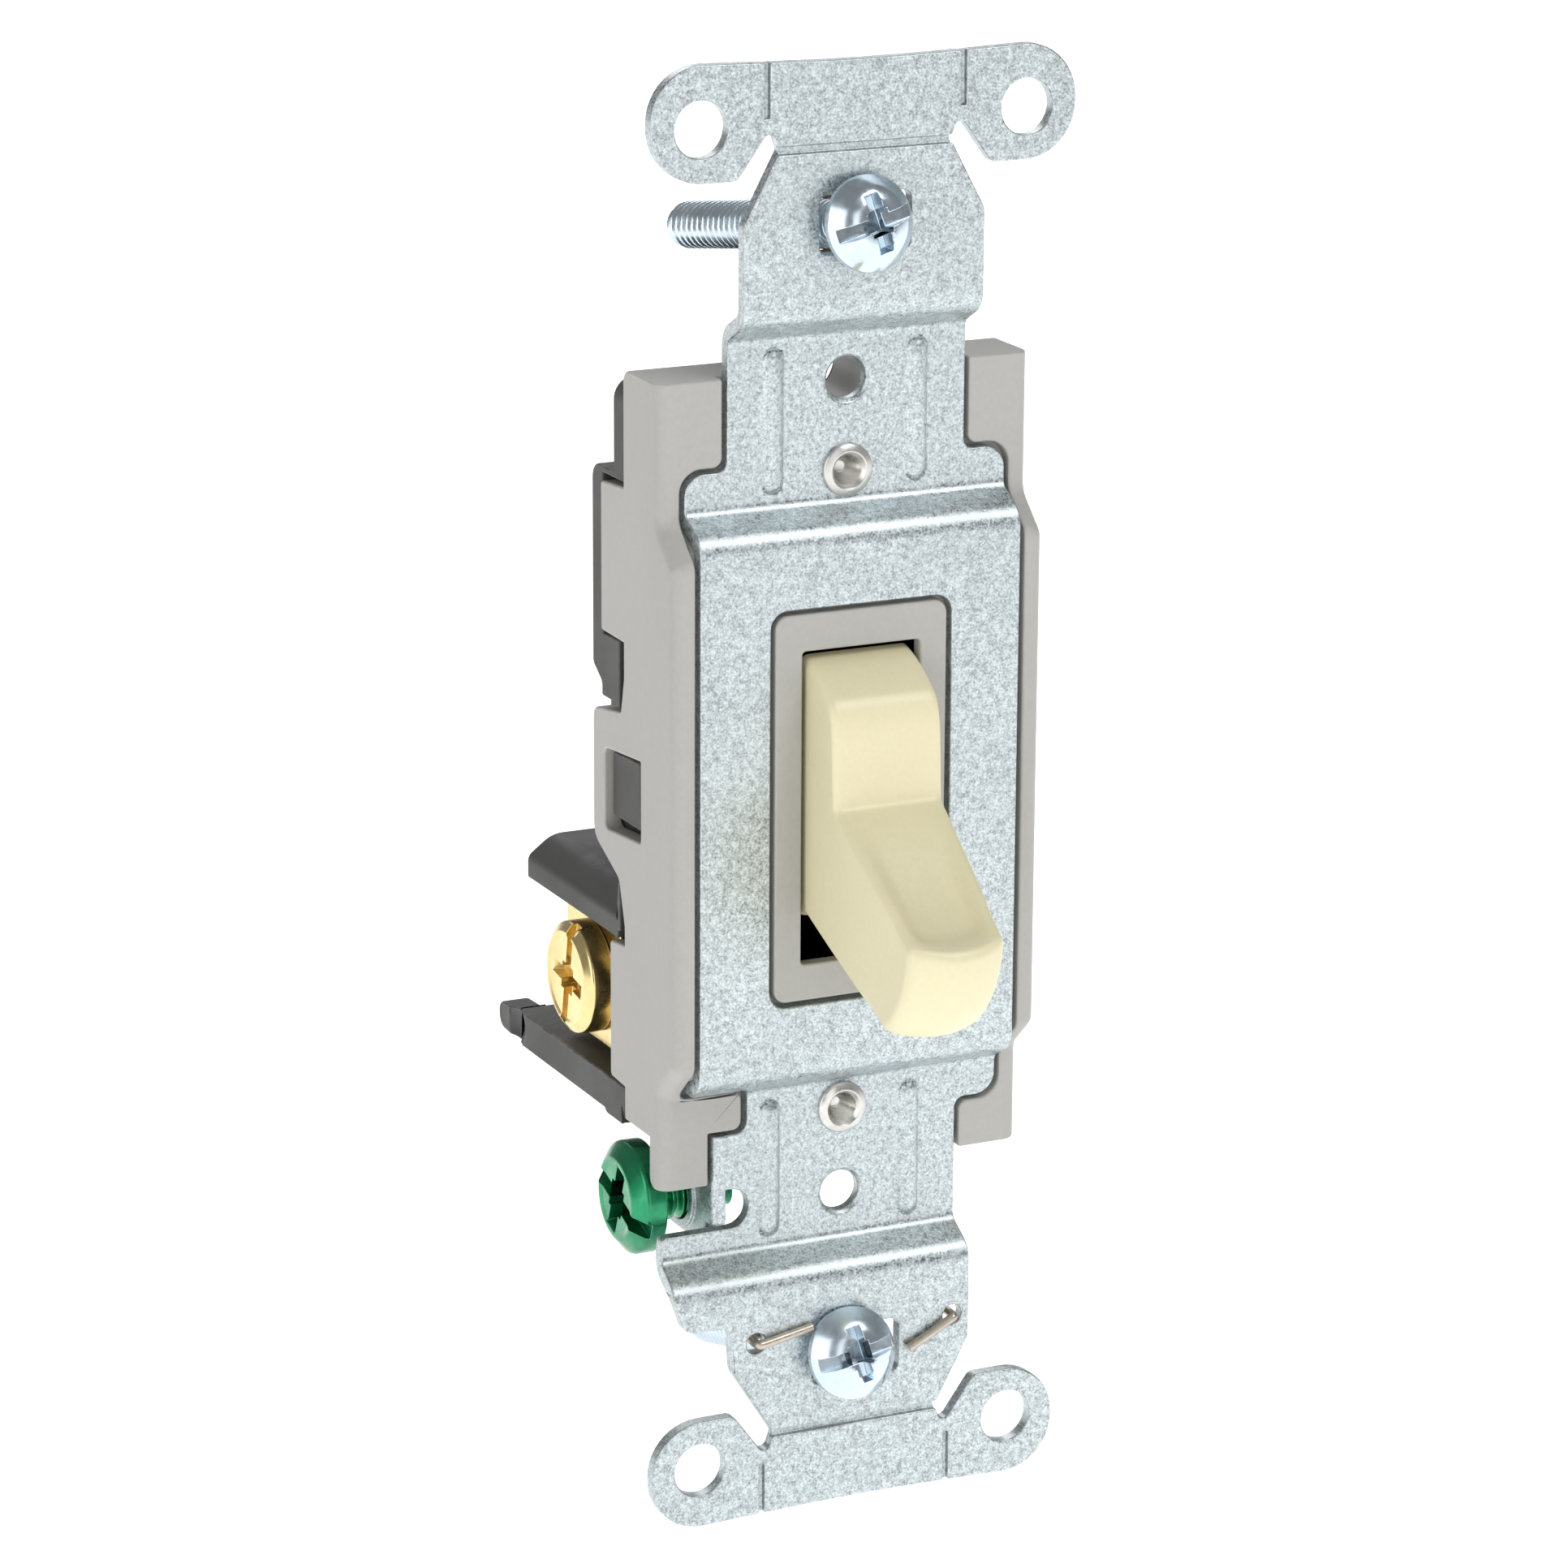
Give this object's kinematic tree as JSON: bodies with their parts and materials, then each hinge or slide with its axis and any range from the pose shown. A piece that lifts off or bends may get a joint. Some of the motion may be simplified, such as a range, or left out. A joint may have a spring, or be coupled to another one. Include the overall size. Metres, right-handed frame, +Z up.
{
  "type": "toggle wall switch",
  "caption": "Toggle wall switch on a steel mounting strap: ivory lever, grey body, screw terminals, ground screw and captive box screws.",
  "frame": {"origin": "centre of the wall plane: rear face of the strap's ears, at the height of the toggle's pivot", "axes": "+X to the right seen from the room, +Y into the wall, +Z up"},
  "size_m": [0.0324, 0.0498, 0.1066],
  "materials": {
    "zinc_strap": "galvanised, satin, fine sparkle",
    "cover_plastic": "light warm grey, fine matte",
    "base_plastic": "dark grey thermoset, matte",
    "ivory_plastic": "ivory, satin gloss",
    "brass": "bright, lightly tarnished",
    "silver_contact": "silver alloy button",
    "spring_steel": "drawn wire",
    "zinc_screw": "bright zinc plate, bluish",
    "green_screw": "green dyed zinc",
    "clip_wire": "plated spring wire",
    "eyelet_metal": "plated, rolled",
    "fibre": "vulcanised fibre, matte"
  },
  "bodies": {
    "frame": {"strap": "zinc_strap", "cover": "cover_plastic", "base": "base_plastic", "line_terminal": "brass", "load_terminal": "brass", "fixed_contact": "silver_contact", "eyelets": "eyelet_metal", "ground_clip": "clip_wire"},
    "toggle_lever": {"toggle": "ivory_plastic", "toggle_spring": "spring_steel"},
    "rocking_arm": {"contact_arm": "brass", "moving_contact": "silver_contact"},
    "clamp_left": {"pressure_plate_left": "brass"},
    "screw_left": {"terminal_screw_left": "brass"},
    "clamp_right": {"pressure_plate_right": "brass"},
    "screw_right": {"terminal_screw_right": "brass"},
    "earth_screw": {"ground_screw": "green_screw"},
    "washer_top": {"retainer_top": "fibre"},
    "screw_top": {"box_screw_top": "zinc_screw"},
    "washer_bottom": {"retainer_bottom": "fibre"},
    "screw_bottom": {"box_screw_bottom": "zinc_screw"}
  },
  "joints": [
    {"name": "toggle_pivot", "type": "hinge", "parent": "frame", "child": "toggle_lever", "pos_m": [0, 0.003, 0], "axis": [-1, 0, 0], "range_deg": [0, 58], "deforming": ["toggle_spring"]},
    {"name": "arm_pivot", "type": "hinge", "parent": "frame", "child": "rocking_arm", "pos_m": [0, 0.0194, 0], "axis": [-1, 0, 0], "range_deg": [0, 26]},
    {"name": "clamp_left_slide", "type": "slide", "parent": "frame", "child": "clamp_left", "axis": [-1, 0, 0], "range_m": [0, 0.0015]},
    {"name": "screw_left_turn", "type": "hinge", "parent": "clamp_left", "child": "screw_left", "pos_m": [-0.014, 0.0174, -0.0165], "axis": [-1, 0, 0], "continuous": true},
    {"name": "clamp_right_slide", "type": "slide", "parent": "frame", "child": "clamp_right", "axis": [1, 0, 0], "range_m": [0, 0.0015]},
    {"name": "screw_right_turn", "type": "hinge", "parent": "clamp_right", "child": "screw_right", "pos_m": [0.014, 0.0174, -0.0165], "axis": [1, 0, 0], "continuous": true},
    {"name": "ground_screw_slide", "type": "slide", "parent": "frame", "child": "earth_screw", "axis": [1, 0, 0], "range_m": [0, 0.0024]},
    {"name": "box_screw_top_slide", "type": "slide", "parent": "frame", "child": "washer_top", "axis": [0.0774, -0.9838, 0.1616], "range_m": [-0.0004, 0.0025]},
    {"name": "box_screw_top_turn", "type": "hinge", "parent": "washer_top", "child": "screw_top", "pos_m": [-0.0006, 0, 0.04142], "axis": [0.0774, -0.9838, 0.1616], "continuous": true},
    {"name": "box_screw_bottom_slide", "type": "slide", "parent": "frame", "child": "washer_bottom", "axis": [0, -0.9703, 0.2419], "range_m": [0, 0.002]},
    {"name": "box_screw_bottom_turn", "type": "hinge", "parent": "washer_bottom", "child": "screw_bottom", "pos_m": [-0.0009, 0, -0.04177], "axis": [0, -0.9703, 0.2419], "continuous": true}
  ],
  "couplings": [
    {"joint": "arm_pivot", "follows": "toggle_pivot", "ratio": 0.44828},
    {"joint": "screw_left_turn", "follows": "clamp_left_slide", "rad_per_m": 7913.3},
    {"joint": "screw_right_turn", "follows": "clamp_right_slide", "rad_per_m": 7913.3}
  ]
}
